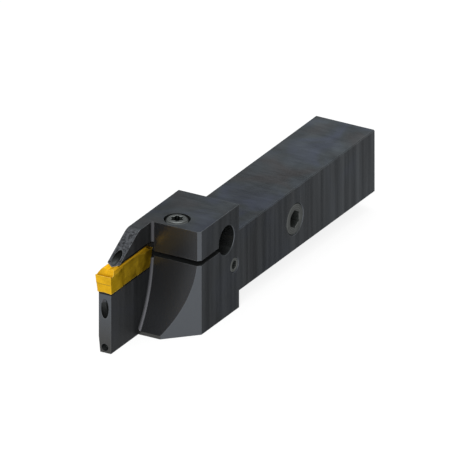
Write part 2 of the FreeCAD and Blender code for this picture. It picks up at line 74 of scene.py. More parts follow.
def fromTo(ends, unit=1.0):
    # the two from values of a Map Range node
    return {1: ends[0] * unit, 2: ends[1] * unit}


def patternScale(*sizes):
    # noise at scale 1 has grains of one unit, so each size in mm is divided out
    return [1 / (size * mm) for size in sizes]


edgeLine = {
    "samples": 6,
    "turnRange": (0.985, 0.85),  # cosine between the rounded and the true normal
}


def edgeWearAndHighlight(tree, under, look):
    # a lighter line where the rounded normal leaves the true one, so only along edges: partly rubbed wear,
    # partly a painted highlight that a rounded edge would catch
    softEdge = addNode(tree, "ShaderNodeBevel", {"Radius": look["edgeRadius"] * mm},
                       samples=edgeLine["samples"])
    trueFace = addNode(tree, "ShaderNodeNewGeometry")
    turned = addNode(tree, "ShaderNodeVectorMath", {
        0: softEdge, 1: trueFace.outputs["True Normal"]}, operation="DOT_PRODUCT")
    edge = addNode(tree, "ShaderNodeMapRange", {
        0: turned.outputs["Value"], **fromTo(edgeLine["turnRange"]), 4: look["edgeShare"]})
    worn = addNode(tree, "ShaderNodeMix", {
        0: edge, 6: under, 7: linearColour(look["edgeWearHighlight"])}, data_type="RGBA")
    return worn.outputs[2]


# Black-oxide tool steel, milled and ground before the bath: a thin dark conversion layer,
# so it stays metallic, cloudy blue to brown, with the cutter's marks and lightly rubbed edges, their light
# line partly a painted highlight.
# A name that ends in Range is where a pattern or a face's direction goes from none to full.
holderFinish = {
    "topDark": "#303335",
    "topGrey": "#3c4043",
    "blueTint": "#3c404f",
    "blueShare": 0.5,
    "brownTint": "#383433",
    "brownShare": 0.45,
    "sideTintShare": 0.25,       # of either tint, on the sides
    "sideDark": "#323436",
    "sideGrey": "#3d3f41",
    "bladeSide": "#393a3b",
    "bladeShare": 0.8,
    "hollow": "#3a3b3d",
    "fillet": "#47474a",
    # the ends' lighter tone is painted light from the front
    "litEndFace": "#4e5155",
    "endLow": "#434342",         # the blade's front is browner towards the floor
    "slopeDark": "#1e1f21",
    "slopeLight": "#404245",
    # painted shade inside the slot and the drillings
    "bore": "#353737",
    # painted light on the floor of the nozzle's mouth
    "nozzleFloorLit": "#3d4142",
    # painted shadow along the insert
    "seatShadow": "#12100a",
    "seatShadowShare": 0.85,
    "edgeWearHighlight": "#85888c",
    "edgeShare": 0.45,
    "edgeRadius": 0.2,           # mm, how far the light edge line, wear and painted highlight, reaches in from an edge
    "cloudSize": 11.0,           # mm, the bath's clouds
    "tintSize": 14.3,            # mm, and their tints
    "tintShift": (31, 17, 43),   # mm, so that tints and clouds don't match
    "markWidth": 1.4,            # mm, cutter marks; the real ones are near 0.2, too fine to show
    "markLength": 11.0,          # mm
    "markTurn": 30.0,            # degrees from straight across the shank
    "streakWidth": 2.4,          # mm, upright grinding streaks on the sides, drawn coarse
    "streakLength": 70.0,        # mm
    "speckleSize": 0.75,         # mm, blasted grain on the finger's slope, drawn coarse
    "grainSize": 0.16,           # mm
    "reliefDepth": 0.02,         # mm
    "cloudRange": (0.32, 0.68),
    "blueRange": (0.5, 0.75),
    "brownRange": (0.5, 0.28),
    "streakRange": (0.35, 0.65),
    "gritRange": (0.38, 0.62),
    "cutRange": (0.25, 0.75),
    "cutLevels": (0.93, 1.07),   # a mark's darkest and lightest, times the colour
    "squareRange": (0.75, 0.98),     # straight up or straight aside
    "forwardRange": (0.55, 0.75),
    "notAsideRange": (0.5, 0.2),
    "cornerRange": (0.3, 0.45),      # the normal's x times y, which is 0.5 at 45 degrees
    "leanRange": (0.08, 0.25),       # the fillet's faces, from the throat's side
    "uprightRange": (0.98, 0.93),    # and from the blade's side
    "slopeUpRange": (0.75, 0.82),
    "slopeForwardRange": (0.1, 0.4),
    "nozzleFloorRange": (0.2, 0.8),
    "rearRange": (30.0, -40.0),  # mm, x towards the shank's rear and a little lighter: painted sheen towards the far end
    "rearSheen": 1.55,            # and a little lighter
    "lowRange": (8.0, -3.0),     # mm, z towards the blade's foot
    "mouthRange": (78.8, 81.0),    # mm, x towards the nozzle's mouth
    "throatRange": (63.0, 65.0),  # mm, x out of the throat
    "footFront": 70.9,           # mm, faces at or ahead of this x are the satin ends
    "bladeRight": -6.2,          # mm, the blade's open face lies at or below this y
    "bladeFade": 1.0,            # mm
    "filletRight": -5.3,         # mm, and its fillet to the throat below this one
    "slot": (17.05, 18.75),      # mm, heights of the slot's floor and roof
    "slotFacing": 0.9,           # and how straight up or down they face, at least
    "seatShadowLines": ((13.65, 14.12), (21.25, 21.9)),  # mm, heights of the painted shadow lines along the insert
    "seatFade": 0.2,             # mm
    "roughness": (0.4, 0.54),    # in a mark's bottom and on its crest
    "roughRange": (0.3, 0.7),
    "hollowRoughness": 0.27,
    "filletRoughness": 0.62,
    "metallic": 0.85,
    "edgeTint": 0.3,
}


def tilted(degrees):
    # a direction in the shank's upright middle plane, in degrees up from forward
    return math.cos(math.radians(degrees)), 0.0, math.sin(math.radians(degrees))


# Each drilling: the middle of its axis in mm, the axis's direction, half its length and a reach
# just past its wall.
drillings = {
    "hingeHole": {"middle": (47.3, 0.0, 19.35), "along": (0.0, 1.0, 0.0), "half": 12.0, "reach": 4.53},
    "nozzle": {"middle": (62.7, -8.325, 24.08), "along": tilted(-4.9), "half": 19.5, "reach": 1.28},
    "outlet": {"middle": (84.6, -8.325, 3.4), "along": tilted(67.0), "half": 7.6, "reach": 1.28},
    "feed": {"middle": (66.0, -8.325, -1.26), "along": tilted(-6.0), "half": 22.0, "reach": 1.18},
    "inlet": {"middle": (-34.0, 0.0, 10.0), "along": tilted(0.0), "half": 6.3, "reach": 4.95},
    "counterbore": {"middle": (57.8, -0.7, 26.2), "along": tilted(90.0), "half": 1.85, "reach": 4.03},
}


def insideDrilling(tree, position, drilling):
    # 1 within reach of the drilling's axis and between its ends
    offset = addNode(tree, "ShaderNodeVectorMath", {
        0: position, 1: [c * mm for c in drilling["middle"]]}, operation="SUBTRACT")
    across = addNode(tree, "ShaderNodeVectorMath", {0: offset, 1: drilling["along"]},
                     operation="CROSS_PRODUCT")
    away = addNode(tree, "ShaderNodeVectorMath", {0: across}, operation="LENGTH")
    within = addNode(tree, "ShaderNodeMath", {0: away.outputs["Value"], 1: drilling["reach"] * mm},
                     operation="LESS_THAN")
    run = addNode(tree, "ShaderNodeVectorMath", {0: offset, 1: drilling["along"]}, operation="DOT_PRODUCT")
    run = addNode(tree, "ShaderNodeMath", {0: run.outputs["Value"]}, operation="ABSOLUTE")
    between = addNode(tree, "ShaderNodeMath", {0: run, 1: drilling["half"] * mm}, operation="LESS_THAN")
    return addNode(tree, "ShaderNodeMath", {0: within, 1: between}, operation="MULTIPLY")


def blackOxideSteel():
    look = holderFinish
    material, tree, shader = startMaterial("black-oxide milled steel")
    place = addNode(tree, "ShaderNodeTexCoord")
    position = place.outputs["Object"]
    spot = addNode(tree, "ShaderNodeSeparateXYZ", {0: position}).outputs
    facing = addNode(tree, "ShaderNodeSeparateXYZ", {0: place.outputs["Normal"]}).outputs
    upward = addNode(tree, "ShaderNodeMath", {0: facing["Z"]}, operation="ABSOLUTE")
    sideways = addNode(tree, "ShaderNodeMath", {0: facing["Y"]}, operation="ABSOLUTE")
    topFace = addNode(tree, "ShaderNodeMapRange", {0: upward, **fromTo(look["squareRange"])})
    sideFace = addNode(tree, "ShaderNodeMapRange", {0: sideways, **fromTo(look["squareRange"])})

    # the bath's clouds and their blue and brown tints
    clouds = addNode(tree, "ShaderNodeTexNoise", {
        "Vector": position, "Scale": patternScale(look["cloudSize"])[0],
        "Detail": 3.0, "Roughness": 0.55, "Distortion": 0.5})
    shift = addNode(tree, "ShaderNodeMapping", {0: position, "Location": [c * mm for c in look["tintShift"]]})
    tints = addNode(tree, "ShaderNodeTexNoise", {
        "Vector": shift, "Scale": patternScale(look["tintSize"])[0],
        "Detail": 2.0, "Roughness": 0.5, "Distortion": 0.8})
    cloudPart = addNode(tree, "ShaderNodeMapRange", {0: clouds, **fromTo(look["cloudRange"])})
    bluePart = addNode(tree, "ShaderNodeMapRange", {
        0: tints, **fromTo(look["blueRange"]), 4: look["blueShare"]})
    brownPart = addNode(tree, "ShaderNodeMapRange", {
        0: tints, **fromTo(look["brownRange"]), 4: look["brownShare"]})

    # cutter marks run across the top, and grinding streaks stand upright on the sides
    markPlace = addNode(tree, "ShaderNodeMapping", {
        0: position, "Rotation": (0.0, 0.0, math.radians(-look["markTurn"])),
        "Scale": patternScale(look["markWidth"], look["markLength"], look["markWidth"])})
    marks = addNode(tree, "ShaderNodeTexNoise", {
        "Vector": markPlace, "Scale": 1.0, "Detail": 4.0, "Roughness": 0.6, "Distortion": 0.3})
    streakPlace = addNode(tree, "ShaderNodeMapping", {
        0: position, "Scale": patternScale(look["streakWidth"], look["streakWidth"], look["streakLength"])})
    streaks = addNode(tree, "ShaderNodeTexNoise", {
        "Vector": streakPlace, "Scale": 1.0, "Detail": 4.0, "Roughness": 0.6})
    cut = addNode(tree, "ShaderNodeMix", {0: topFace, 2: streaks, 3: marks}, data_type="FLOAT")

    top = addNode(tree, "ShaderNodeMix", {
        0: cloudPart, 6: linearColour(look["topDark"]), 7: linearColour(look["topGrey"])}, data_type="RGBA")
    streakPart = addNode(tree, "ShaderNodeMapRange", {0: streaks, **fromTo(look["streakRange"])})
    side = addNode(tree, "ShaderNodeMix", {
        0: streakPart, 6: linearColour(look["sideDark"]), 7: linearColour(look["sideGrey"])},
        data_type="RGBA")
    onBlade = addNode(tree, "ShaderNodeMapRange", {
        0: spot["Y"], **fromTo((look["bladeRight"] + look["bladeFade"], look["bladeRight"]), mm),
        4: look["bladeShare"]})
    side = addNode(tree, "ShaderNodeMix", {
        0: onBlade, 6: side.outputs[2], 7: linearColour(look["bladeSide"])}, data_type="RGBA")
    ground = addNode(tree, "ShaderNodeMix", {
        0: sideFace, 6: top.outputs[2], 7: side.outputs[2]}, data_type="RGBA")
    tintShare = addNode(tree, "ShaderNodeMapRange", {0: sideFace, 3: 1.0, 4: look["sideTintShare"]})
    for part, tint in ((bluePart, "blueTint"), (brownPart, "brownTint")):
        share = addNode(tree, "ShaderNodeMath", {0: part, 1: tintShare}, operation="MULTIPLY")
        ground = addNode(tree, "ShaderNodeMix", {
            0: share, 6: ground.outputs[2], 7: linearColour(look[tint])}, data_type="RGBA")
    darkest, lightest = look["cutLevels"]
    cutLevel = addNode(tree, "ShaderNodeMapRange", {
        0: cut, **fromTo(look["cutRange"]), 3: darkest, 4: lightest})
    # painted sheen: the colour gets lighter towards the shank's rear
    rearSheenLevel = addNode(tree, "ShaderNodeMapRange", {
        0: spot["X"], **fromTo(look["rearRange"], mm), 3: 1.0, 4: look["rearSheen"]})
    level = addNode(tree, "ShaderNodeMath", {0: cutLevel, 1: rearSheenLevel}, operation="MULTIPLY")
    marked = addNode(tree, "ShaderNodeVectorMath", {0: ground.outputs[2], "Scale": level}, operation="SCALE")

    # the throat and shoulder are finished finer; their even tone, darker than the lit ends, is painted shade
    # where the blade and finger shadow them
    forward = addNode(tree, "ShaderNodeMapRange", {0: facing["X"], **fromTo(look["forwardRange"])})
    notAside = addNode(tree, "ShaderNodeMapRange", {0: sideways, **fromTo(look["notAsideRange"])})
    hollow = addNode(tree, "ShaderNodeMath", {0: forward, 1: notAside}, operation="MULTIPLY")
    hollowed = addNode(tree, "ShaderNodeMix", {
        0: hollow, 6: marked, 7: linearColour(look["hollow"])}, data_type="RGBA")

    # the ends get a lighter tone, painted light from the front: all that faces forward past the foot, and the
    # 45 degree corner
    ahead = addNode(tree, "ShaderNodeMath", {
        0: spot["X"], 1: look["footFront"] * mm}, operation="GREATER_THAN")
    front = addNode(tree, "ShaderNodeMath", {0: ahead, 1: forward}, operation="MULTIPLY")
    corner = addNode(tree, "ShaderNodeMath", {0: facing["X"], 1: facing["Y"]}, operation="MULTIPLY")
    corner = addNode(tree, "ShaderNodeMapRange", {0: corner, **fromTo(look["cornerRange"])})
    offBlade = addNode(tree, "ShaderNodeMath", {0: spot["Y"], 1: 0.0}, operation="GREATER_THAN")
    corner = addNode(tree, "ShaderNodeMath", {0: corner, 1: offBlade}, operation="MULTIPLY")
    ends = addNode(tree, "ShaderNodeMath", {0: front, 1: corner}, operation="MAXIMUM")
    lowness = addNode(tree, "ShaderNodeMapRange", {0: spot["Z"], **fromTo(look["lowRange"], mm)})
    low = addNode(tree, "ShaderNodeMath", {0: lowness, 1: front}, operation="MULTIPLY")
    endTone = addNode(tree, "ShaderNodeMix", {
        0: low, 6: linearColour(look["litEndFace"]), 7: linearColour(look["endLow"])}, data_type="RGBA")
    ended = addNode(tree, "ShaderNodeMix", {
        0: ends, 6: hollowed.outputs[2], 7: endTone.outputs[2]}, data_type="RGBA")

    # the throat's fillet is cut by a ball-nosed tool and stays duller than the faces beside it; its lighter
    # tone is a painted highlight along the fillet
    leaning = addNode(tree, "ShaderNodeMapRange", {0: facing["Y"], **fromTo(look["leanRange"])})
    upright = addNode(tree, "ShaderNodeMapRange", {0: facing["Y"], **fromTo(look["uprightRange"])})
    onFillet = addNode(tree, "ShaderNodeMath", {0: leaning, 1: upright}, operation="MULTIPLY")
    beside = addNode(tree, "ShaderNodeMath", {
        0: spot["Y"], 1: look["filletRight"] * mm}, operation="LESS_THAN")
    onFillet = addNode(tree, "ShaderNodeMath", {0: onFillet, 1: beside}, operation="MULTIPLY")
    filleted = addNode(tree, "ShaderNodeMix", {
        0: onFillet, 6: ended.outputs[2], 7: linearColour(look["fillet"])}, data_type="RGBA")

    # blasted grain where the finger slopes
    slopeUp = addNode(tree, "ShaderNodeMapRange", {0: facing["Z"], **fromTo(look["slopeUpRange"])})
    slopeFront = addNode(tree, "ShaderNodeMapRange", {0: facing["X"], **fromTo(look["slopeForwardRange"])})
    slope = addNode(tree, "ShaderNodeMath", {0: slopeUp, 1: slopeFront}, operation="MULTIPLY")
    grit = addNode(tree, "ShaderNodeTexNoise", {
        "Vector": position, "Scale": patternScale(look["speckleSize"])[0], "Detail": 2.0, "Roughness": 0.7})
    gritPart = addNode(tree, "ShaderNodeMapRange", {0: grit, **fromTo(look["gritRange"])})
    gritty = addNode(tree, "ShaderNodeMix", {
        0: gritPart, 6: linearColour(look["slopeDark"]), 7: linearColour(look["slopeLight"])},
        data_type="RGBA")
    blasted = addNode(tree, "ShaderNodeMix", {
        0: slope, 6: filleted.outputs[2], 7: gritty.outputs[2]}, data_type="RGBA")

    # painted shadow: the blade is darkened in a thin line below and above the insert, where it meets the
    # insert
    onBladeFace = addNode(tree, "ShaderNodeMath", {
        0: spot["Y"], 1: look["bladeRight"] * mm}, operation="LESS_THAN")
    pastThroat = addNode(tree, "ShaderNodeMapRange", {0: spot["X"], **fromTo(look["throatRange"], mm)})
    offSlope = addNode(tree, "ShaderNodeMath", {0: 1.0, 1: slope}, operation="SUBTRACT")
    atInsert = addNode(tree, "ShaderNodeMath", {0: onBladeFace, 1: pastThroat}, operation="MULTIPLY")
    atInsert = addNode(tree, "ShaderNodeMath", {0: atInsert, 1: offSlope}, operation="MULTIPLY")
    # light lines along the edges: partly rubbed wear, partly painted highlight
    edgedAndShadowed = edgeWearAndHighlight(tree, blasted.outputs[2], look)
    fade = look["seatFade"]
    for low, high in look["seatShadowLines"]:
        above = addNode(tree, "ShaderNodeMapRange", {0: spot["Z"], **fromTo((low - fade, low), mm)})
        below = addNode(tree, "ShaderNodeMapRange", {
            0: spot["Z"], **fromTo((high + fade, high), mm), 4: look["seatShadowShare"]})
        line = addNode(tree, "ShaderNodeMath", {0: above, 1: below}, operation="MULTIPLY")
        line = addNode(tree, "ShaderNodeMath", {0: line, 1: atInsert}, operation="MULTIPLY")
        edgedAndShadowed = addNode(tree, "ShaderNodeMix", {
            0: line, 6: edgedAndShadowed, 7: linearColour(look["seatShadow"])}, data_type="RGBA").outputs[2]

    # painted shade: the slot and the drillings are darkened, as shade fills them
    slotFloor, slotRoof = look["slot"]
    aboveSlot = addNode(tree, "ShaderNodeMath", {0: spot["Z"], 1: slotFloor * mm}, operation="GREATER_THAN")
    belowSlot = addNode(tree, "ShaderNodeMath", {0: spot["Z"], 1: slotRoof * mm}, operation="LESS_THAN")
    slotFace = addNode(tree, "ShaderNodeMath", {0: upward, 1: look["slotFacing"]}, operation="GREATER_THAN")
    dark = addNode(tree, "ShaderNodeMath", {0: aboveSlot, 1: belowSlot}, operation="MULTIPLY")
    dark = addNode(tree, "ShaderNodeMath", {0: dark, 1: slotFace}, operation="MULTIPLY")
    inside = {name: insideDrilling(tree, position, drilling) for name, drilling in drillings.items()}
    for within in inside.values():
        dark = addNode(tree, "ShaderNodeMath", {0: dark, 1: within}, operation="MAXIMUM")
    recessShaded = addNode(tree, "ShaderNodeMix", {
        0: dark, 6: edgedAndShadowed, 7: linearColour(look["bore"])}, data_type="RGBA")

    # painted light: the upward-facing floor of the nozzle's mouth is lighter than the other drillings, where
    # light falls into it
    nozzleFloor = addNode(tree, "ShaderNodeMapRange", {0: facing["Z"], **fromTo(look["nozzleFloorRange"])})
    atMouth = addNode(tree, "ShaderNodeMapRange", {0: spot["X"], **fromTo(look["mouthRange"], mm)})
    litNozzleMouth = addNode(tree, "ShaderNodeMath", {0: inside["nozzle"], 1: nozzleFloor}, operation="MULTIPLY")
    litNozzleMouth = addNode(tree, "ShaderNodeMath", {0: litNozzleMouth, 1: atMouth}, operation="MULTIPLY")
    final = addNode(tree, "ShaderNodeMix", {
        0: litNozzleMouth, 6: recessShaded.outputs[2], 7: linearColour(look["nozzleFloorLit"])}, data_type="RGBA")
    tree.links.new(final.outputs[2], shader.inputs["Base Color"])

    shader.inputs["Metallic"].default_value = look["metallic"]
    shader.inputs["Specular Tint"].default_value = (look["edgeTint"], look["edgeTint"], look["edgeTint"], 1.0)
    smoothest, roughest = look["roughness"]
    rough = addNode(tree, "ShaderNodeMapRange", {
        0: cut, **fromTo(look["roughRange"]), 3: smoothest, 4: roughest})
    polished = addNode(tree, "ShaderNodeMix", {
        0: hollow, 2: rough, 3: look["hollowRoughness"]}, data_type="FLOAT")
    dulled = addNode(tree, "ShaderNodeMix", {
        0: onFillet, 2: polished, 3: look["filletRoughness"]}, data_type="FLOAT")
    tree.links.new(dulled.outputs[0], shader.inputs["Roughness"])
    grain = addNode(tree, "ShaderNodeTexNoise", {
        "Vector": position, "Scale": patternScale(look["grainSize"])[0], "Detail": 2.0})
    relief = addNode(tree, "ShaderNodeMath", {0: cut, 1: grain}, operation="ADD")
    bump = addNode(tree, "ShaderNodeBump", {
        "Strength": 0.2, "Distance": look["reliefDepth"] * mm, "Height": relief})
    tree.links.new(bump.outputs[0], shader.inputs["Normal"])
    return material


# Titanium-nitride-coated carbide: a hard gold vapour-deposited skin over sintered grain,
# satin rather than mirror, pale along the ground edges: partly rubbed, partly a painted highlight.
insertFinish = {
    "gold": "#ddaf27",
    "deepGold": "#c49721",
    "flankShade": "#c9d2f0",      # multiplies the gold: painted shade that makes the sides deeper, with a greener hue
    "formerShade": "#e4dfd0",     # multiplies the gold on the chip former: painted shade that dims its highlight
    # painted shade for the valley and the step
    "insertShadow": "#6b4a08",
    "valleyShare": 0.7,
    "stepShare": 0.75,
    "edgeWearHighlight": "#f4dc80",
    "edgeShare": 0.6,
    "edgeRadius": 0.2,           # mm
    "grindWidth": 0.35,          # mm, grinding lines along the flanks, drawn coarse
    "grindLength": 8.0,          # mm
    "grindDepth": 0.01,          # mm
    "cloudSize": 2.5,            # mm
    "goldRange": (0.1, 0.4),
    "asideRange": (0.7, 0.95),
    "upRange": (0.4, 0.6),
    "valleyRange": (20.05, 19.93),  # mm, z down from just over the cutting edge
    "stepHeight": 17.2,          # mm, where the ground flank ends and the pressed foot begins
    "stepRange": (0.2, 0.08),    # mm, from either side towards that height
    "endFacing": 0.9,            # how straight the ends face forward or back, at least
    "roughness": (0.41, 0.54),
    "roughRange": (0.3, 0.7),
    "edgeTint": (0.8, 0.6, 0.2, 1.0),
}


def coatedCarbide():
    look = insertFinish
    material, tree, shader = startMaterial("titanium-nitride-coated carbide")
    place = addNode(tree, "ShaderNodeTexCoord")
    position = place.outputs["Object"]
    spot = addNode(tree, "ShaderNodeSeparateXYZ", {0: position}).outputs
    facing = addNode(tree, "ShaderNodeSeparateXYZ", {0: place.outputs["Normal"]}).outputs
    lines = addNode(tree, "ShaderNodeMapping", {
        0: position, "Scale": patternScale(look["grindLength"], look["grindWidth"], look["grindWidth"])})
    grind = addNode(tree, "ShaderNodeTexNoise", {"Vector": lines, "Scale": 1.0, "Detail": 3.0})
    clouds = addNode(tree, "ShaderNodeTexNoise", {
        "Vector": position, "Scale": patternScale(look["cloudSize"])[0], "Detail": 2.0})
    both = addNode(tree, "ShaderNodeMath", {0: grind, 1: clouds}, operation="MULTIPLY")
    part = addNode(tree, "ShaderNodeMapRange", {0: both, **fromTo(look["goldRange"])})
    base = addNode(tree, "ShaderNodeMix", {
        0: part, 6: linearColour(look["deepGold"]), 7: linearColour(look["gold"])}, data_type="RGBA")
    sideways = addNode(tree, "ShaderNodeMath", {0: facing["Y"]}, operation="ABSOLUTE")
    onFlank = addNode(tree, "ShaderNodeMapRange", {0: sideways, **fromTo(look["asideRange"])})
    flanked = addNode(tree, "ShaderNodeMix", {
        0: onFlank, 6: base.outputs[2], 7: linearColour(look["flankShade"])},
        data_type="RGBA", blend_type="MULTIPLY")
    onFormer = addNode(tree, "ShaderNodeMapRange", {0: facing["Z"], **fromTo(look["upRange"])})
    formed = addNode(tree, "ShaderNodeMix", {
        0: onFormer, 6: flanked.outputs[2], 7: linearColour(look["formerShade"])},
        data_type="RGBA", blend_type="MULTIPLY")

    # painted shade: darker in the chip former's valley, and a dark line in the step across each end
    inValley = addNode(tree, "ShaderNodeMapRange", {
        0: spot["Z"], **fromTo(look["valleyRange"], mm), 4: look["valleyShare"]})
    inValley = addNode(tree, "ShaderNodeMath", {0: inValley, 1: onFormer}, operation="MULTIPLY")
    shaded = addNode(tree, "ShaderNodeMix", {
        0: inValley, 6: formed.outputs[2], 7: linearColour(look["insertShadow"])}, data_type="RGBA")
    offStep = addNode(tree, "ShaderNodeMath", {
        0: spot["Z"], 1: look["stepHeight"] * mm}, operation="SUBTRACT")
    offStep = addNode(tree, "ShaderNodeMath", {0: offStep}, operation="ABSOLUTE")
    nearStep = addNode(tree, "ShaderNodeMapRange", {
        0: offStep, **fromTo(look["stepRange"], mm), 4: look["stepShare"]})
    atEnd = addNode(tree, "ShaderNodeMath", {0: facing["X"]}, operation="ABSOLUTE")
    atEnd = addNode(tree, "ShaderNodeMath", {0: atEnd, 1: look["endFacing"]}, operation="GREATER_THAN")
    stepShadow = addNode(tree, "ShaderNodeMath", {0: nearStep, 1: atEnd}, operation="MULTIPLY")
    stepped = addNode(tree, "ShaderNodeMix", {
        0: stepShadow, 6: shaded.outputs[2], 7: linearColour(look["insertShadow"])}, data_type="RGBA")
    # light lines along the edges: partly rubbed wear, partly painted highlight
    tree.links.new(edgeWearAndHighlight(tree, stepped.outputs[2], look), shader.inputs["Base Color"])

    shader.inputs["Metallic"].default_value = 1.0
    shader.inputs["Specular Tint"].default_value = look["edgeTint"]
    smoothest, roughest = look["roughness"]
    rough = addNode(tree, "ShaderNodeMapRange", {
        0: clouds, **fromTo(look["roughRange"]), 3: smoothest, 4: roughest})
    tree.links.new(rough.outputs[0], shader.inputs["Roughness"])
    bump = addNode(tree, "ShaderNodeBump", {
        "Strength": 0.2, "Distance": look["grindDepth"] * mm, "Height": grind})
    tree.links.new(bump.outputs[0], shader.inputs["Normal"])
    return material


# Turned screw steel, oiled black but polished by the key: greyer and brighter than the holder,
# with fine rings about its axis. Phosphated plugs are duller. Sockets get a tone of their own.
turnedFinish = {
    "screw": {
        "dark": "#333637",
        "light": "#5a5d5c",
        "edgeWearHighlight": "#b4b6b4",
        "edgeShare": 0.6,
        "edgeRadius": 0.18,   # mm
        "ring": 0.45,         # mm, turning rings, drawn coarse
        "roughness": 0.32,
        "socket": "#3c403f",
        "socketRadius": 2.2,  # mm, the socket tone's reach from the axis
        "socketTop": -0.015,  # mm, and its height from the outer face
    },
    "plug": {
        "dark": "#404241",
        "light": "#585a59",
        "edgeWearHighlight": "#7d7e7c",
        "edgeShare": 0.5,
        "edgeRadius": 0.15,
        "ring": 0.6,
        "roughness": 0.45,
        "socket": "#5c605e",
        "socketTop": -0.25,
    },
}
ringWave = {
    "spacing": 0.314,         # units between the rings of a ring pattern at scale 1
    "cloudSize": 2.0,         # mm
    "lightRange": (0.4, 1.4),
    "depth": 0.01,            # mm
    "edgeTint": 0.5,
}


def turnedSteel(name, look, centre, axis):
    # centre is the middle of the outer face in metres, axis the letter of the outward side
    material, tree, shader = startMaterial(name)
    position = addNode(tree, "ShaderNodeTexCoord").outputs["Object"]
    centred = addNode(tree, "ShaderNodeMapping", {0: position, "Location": [-c for c in centre]})
    rings = addNode(tree, "ShaderNodeTexWave", {
        "Vector": centred, "Scale": ringWave["spacing"] / (look["ring"] * mm), "Distortion": 1.5,
        "Detail": 2.0, "Detail Scale": 1.5}, wave_type="RINGS", rings_direction=axis).outputs[1]
    clouds = addNode(tree, "ShaderNodeTexNoise", {
        "Vector": position, "Scale": patternScale(ringWave["cloudSize"])[0], "Detail": 3.0})
    both = addNode(tree, "ShaderNodeMath", {0: rings, 1: clouds}, operation="ADD")
    part = addNode(tree, "ShaderNodeMapRange", {0: both, **fromTo(ringWave["lightRange"])})
    base = addNode(tree, "ShaderNodeMix", {
        0: part, 6: linearColour(look["dark"]), 7: linearColour(look["light"])}, data_type="RGBA")
    # light lines along the edges: partly rubbed wear, partly painted highlight
    edged = edgeWearAndHighlight(tree, base.outputs[2], look)

    # the socket's own tone: darker on the screw, lighter on the plugs
    local = addNode(tree, "ShaderNodeSeparateXYZ", {0: centred})
    inward = addNode(tree, "ShaderNodeMath", {0: local.outputs[axis], 1: look["socketTop"] * mm},
                     operation="LESS_THAN")
    across = addNode(tree, "ShaderNodeVectorMath", {
        0: centred, 1: [0.0 if letter == axis else 1.0 for letter in "XYZ"]}, operation="MULTIPLY")
    away = addNode(tree, "ShaderNodeVectorMath", {0: across}, operation="LENGTH")
    within = addNode(tree, "ShaderNodeMath", {0: away.outputs["Value"], 1: look["socketRadius"] * mm},
                     operation="LESS_THAN")
    inSocket = addNode(tree, "ShaderNodeMath", {0: inward, 1: within}, operation="MULTIPLY")
    final = addNode(tree, "ShaderNodeMix", {
        0: inSocket, 6: edged, 7: linearColour(look["socket"])}, data_type="RGBA")
    tree.links.new(final.outputs[2], shader.inputs["Base Color"])

    tint = ringWave["edgeTint"]
    shader.inputs["Metallic"].default_value = 1.0
    shader.inputs["Roughness"].default_value = look["roughness"]
    shader.inputs["Specular Tint"].default_value = (tint, tint, tint, 1.0)
    bump = addNode(tree, "ShaderNodeBump", {
        "Strength": 0.2, "Distance": ringWave["depth"] * mm, "Height": rings})
    tree.links.new(bump.outputs[0], shader.inputs["Normal"])
    return material


threadInputs = {
    "Geometry": "Geometry",
    "Root Radius": "Float",      # metres, as all sizes in a tree
    "Depth": "Float",            # from root to crest, inwards when negative
    "Pitch": "Float",
    "Root Share": "Float",       # widths of the ridge, as shares of the pitch
    "Crest Share": "Float",
    "Turns": "Float",
    "Steps per Turn": "Int",
    "Place": "Vector",           # the helix's start
    "Turn": "Vector",            # and how it is turned from upright
    "Material": "Material",
}


def helixTree():
    # a trapezoid ridge swept along a helix: the thread of the screw, the plugs and the inlet
    tree = bpy.data.node_groups.new("threadRidge", "GeometryNodeTree")
    for name, kind in threadInputs.items():
        tree.interface.new_socket(name, in_out="INPUT", socket_type="NodeSocket" + kind)
    tree.interface.new_socket("Geometry", in_out="OUTPUT", socket_type="NodeSocketGeometry")
    given = addNode(tree, "NodeGroupInput").outputs
    height = addNode(tree, "ShaderNodeMath", {0: given["Turns"], 1: given["Pitch"]}, operation="MULTIPLY")
    helix = addNode(tree, "GeometryNodeCurveSpiral", {
        "Resolution": given["Steps per Turn"], "Rotations": given["Turns"],
        "Start Radius": given["Root Radius"], "End Radius": given["Root Radius"], "Height": height})
    upright = addNode(tree, "GeometryNodeSetCurveNormal", {"Curve": helix}, mode="Z_UP")

    # the profile's corners: root, crest, crest and root, at half a width either way
    corners = []
    for across, share, half in ((0.0, "Root Share", 0.5), (given["Depth"], "Crest Share", 0.5),
                                (given["Depth"], "Crest Share", -0.5), (0.0, "Root Share", -0.5)):
        width = addNode(tree, "ShaderNodeMath", {0: given["Pitch"], 1: given[share]}, operation="MULTIPLY")
        along = addNode(tree, "ShaderNodeMath", {0: width, 1: half}, operation="MULTIPLY")
        corners.append(addNode(tree, "ShaderNodeCombineXYZ", {"X": across, "Y": along}))
    profile = addNode(tree, "GeometryNodeCurvePrimitiveQuadrilateral", {
        f"Point {number}": corner for number, corner in enumerate(corners, start=1)}, mode="POINTS")
    ridge = addNode(tree, "GeometryNodeCurveToMesh", {
        "Curve": upright, "Profile Curve": profile, "Fill Caps": True})
    placed = addNode(tree, "GeometryNodeTransform", {
        "Geometry": ridge, "Translation": given["Place"], "Rotation": given["Turn"]})
    real = addNode(tree, "GeometryNodeRealizeInstances", {0: placed})
    coated = addNode(tree, "GeometryNodeSetMaterial", {"Geometry": real, "Material": given["Material"]})
    addNode(tree, "NodeGroupOutput", {0: coated})
    return tree


